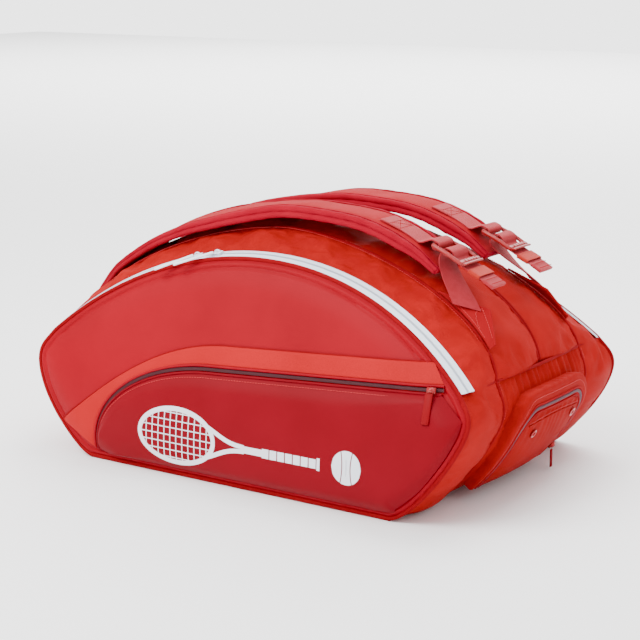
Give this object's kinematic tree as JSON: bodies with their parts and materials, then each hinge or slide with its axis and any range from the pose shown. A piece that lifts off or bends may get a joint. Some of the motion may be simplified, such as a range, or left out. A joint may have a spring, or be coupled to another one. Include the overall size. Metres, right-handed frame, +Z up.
{
  "type": "racket tournament bag",
  "caption": "Large arched racket bag: moulded front and rear panels that unzip over the top, two compartments, front and end pockets, two padded shoulder straps with ladder locks.",
  "frame": {"origin": "middle of the flat base, on the ground", "axes": "+X along the bag's length towards the end pocket and ladder locks, -Y towards the front pocket, +Z up"},
  "size_m": [0.7433, 0.4734, 0.374],
  "materials": {
    "moulded_pu": "satin moulded polyurethane over foam",
    "polyester": "woven coral polyester",
    "white_zip": "white coated zip tape, plastic sliders",
    "webbing": "ribbed polyester webbing",
    "red_plastic": "glossy red acetal and enamelled metal"
  },
  "bodies": {
    "bag": {"base_panel": "moulded_pu", "base_board": "moulded_pu", "centre_divider": "polyester", "right_end_panel": "polyester", "left_end_panel": "polyester", "centre_piping": "polyester", "end_seam_piping_left": "polyester", "end_seam_piping_right": "polyester", "junction_piping_front": "polyester", "junction_piping_rear": "polyester", "pocket_panel": "moulded_pu", "pocket_zip_tape": "polyester", "accent_band": "polyester", "end_pocket_rim": "polyester", "end_pocket_tape": "polyester", "front_lower_panel": "moulded_pu", "front_gusset": "polyester", "front_centre_panel": "polyester", "front_edge_piping": "polyester", "front_zip_tape_body": "white_zip", "front_strap_pad": "polyester", "front_pad_webbing": "webbing", "front_ladder_lock": "red_plastic", "front_adjusting_webbing": "webbing", "front_webbing_keeper": "webbing", "front_anchor_tab": "webbing", "rear_lower_panel": "moulded_pu", "rear_gusset": "polyester", "rear_centre_panel": "polyester", "rear_edge_piping": "polyester", "rear_zip_tape_body": "white_zip", "rear_strap_pad": "polyester", "rear_pad_webbing": "webbing", "rear_ladder_lock": "red_plastic", "rear_adjusting_webbing": "webbing", "rear_webbing_keeper": "webbing", "rear_anchor_tab": "webbing"},
    "front_flap": {"front_flap_panel": "moulded_pu", "front_flap_piping": "polyester", "front_zip_tape_flap": "white_zip"},
    "front_slider_left": {"front_zip_slider_left": "white_zip"},
    "front_puller_left": {"front_zip_puller_left": "white_zip"},
    "front_slider_right": {"front_zip_slider_right": "white_zip"},
    "front_puller_right": {"front_zip_puller_right": "white_zip"},
    "rear_flap": {"rear_flap_panel": "moulded_pu", "rear_flap_piping": "polyester", "rear_zip_tape_flap": "white_zip"},
    "rear_slider_left": {"rear_zip_slider_left": "white_zip"},
    "rear_puller_left": {"rear_zip_puller_left": "white_zip"},
    "rear_slider_right": {"rear_zip_slider_right": "white_zip"},
    "rear_puller_right": {"rear_zip_puller_right": "white_zip"},
    "pocket_slider_body": {"pocket_slider": "red_plastic"},
    "pocket_puller_body": {"pocket_puller": "red_plastic"},
    "end_pocket_flap": {"end_pocket_panel": "polyester", "vent_eyelet_front": "red_plastic", "vent_eyelet_rear": "red_plastic"},
    "end_pocket_slider_body": {"end_pocket_slider": "red_plastic"},
    "end_pocket_puller_body": {"end_pocket_puller": "red_plastic"}
  },
  "joints": [
    {"name": "front_flap_hinge", "type": "hinge", "parent": "bag", "child": "front_flap", "pos_m": [0, -0.19003, 0.214], "axis": [1, 0, 0], "range_deg": [0, 45]},
    {"name": "front_slider_left_run", "type": "hinge", "parent": "front_flap", "child": "front_slider_left", "pos_m": [0, -0.32635, -0.14074], "axis": [0, 0.9272, -0.3746], "range_deg": [-20, 0]},
    {"name": "front_puller_left_pin", "type": "hinge", "parent": "front_slider_left", "child": "front_puller_left", "pos_m": [-0.12305, -0.14596, 0.29647], "axis": [-0.6669, 0.7393, 0.0933], "range_deg": [0, 110]},
    {"name": "front_slider_right_run", "type": "hinge", "parent": "front_flap", "child": "front_slider_right", "pos_m": [0, -0.32635, -0.14074], "axis": [0, 0.9272, -0.3746], "range_deg": [0, 44]},
    {"name": "front_puller_right_pin", "type": "hinge", "parent": "front_slider_right", "child": "front_puller_right", "pos_m": [-0.08975, -0.14318, 0.30336], "axis": [-0.64, 0.7564, 0.1356], "range_deg": [0, 110]},
    {"name": "rear_flap_hinge", "type": "hinge", "parent": "bag", "child": "rear_flap", "pos_m": [0, 0.19003, 0.214], "axis": [-1, 0, 0], "range_deg": [0, 45]},
    {"name": "rear_slider_left_run", "type": "hinge", "parent": "rear_flap", "child": "rear_slider_left", "pos_m": [0, 0.32635, -0.14074], "axis": [0, -0.9272, -0.3746], "range_deg": [-20, 0]},
    {"name": "rear_puller_left_pin", "type": "hinge", "parent": "rear_slider_left", "child": "rear_puller_left", "pos_m": [0.12305, 0.14596, 0.29647], "axis": [0.6669, -0.7393, 0.0933], "range_deg": [0, 110]},
    {"name": "rear_slider_right_run", "type": "hinge", "parent": "rear_flap", "child": "rear_slider_right", "pos_m": [0, 0.32635, -0.14074], "axis": [0, -0.9272, -0.3746], "range_deg": [0, 44]},
    {"name": "rear_puller_right_pin", "type": "hinge", "parent": "rear_slider_right", "child": "rear_puller_right", "pos_m": [0.08975, 0.14318, 0.30336], "axis": [0.64, -0.7564, 0.1356], "range_deg": [0, 110]},
    {"name": "pocket_slider_run", "type": "slide", "parent": "bag", "child": "pocket_slider_body", "axis": [-0.9981, -0.022, -0.0573], "range_m": [0, 0.34]},
    {"name": "pocket_puller_pin", "type": "hinge", "parent": "pocket_slider_body", "child": "pocket_puller_body", "pos_m": [0.30326, -0.21653, 0.17474], "axis": [-0.999, -0.0161, -0.0419], "range_deg": [0, 90]},
    {"name": "end_pocket_hinge", "type": "hinge", "parent": "bag", "child": "end_pocket_flap", "pos_m": [0.3049, 0, 0.01607], "axis": [0, 1, 0], "range_deg": [0, 45]},
    {"name": "end_pocket_slider_run", "type": "slide", "parent": "bag", "child": "end_pocket_slider_body", "axis": [0.6127, 0, 0.7903], "range_m": [0, 0.045]},
    {"name": "end_pocket_puller_pin", "type": "hinge", "parent": "end_pocket_slider_body", "child": "end_pocket_puller_body", "pos_m": [0.32381, 0.0905, 0.02975], "axis": [0, -1, 0], "range_deg": [-15, 80]}
  ]
}
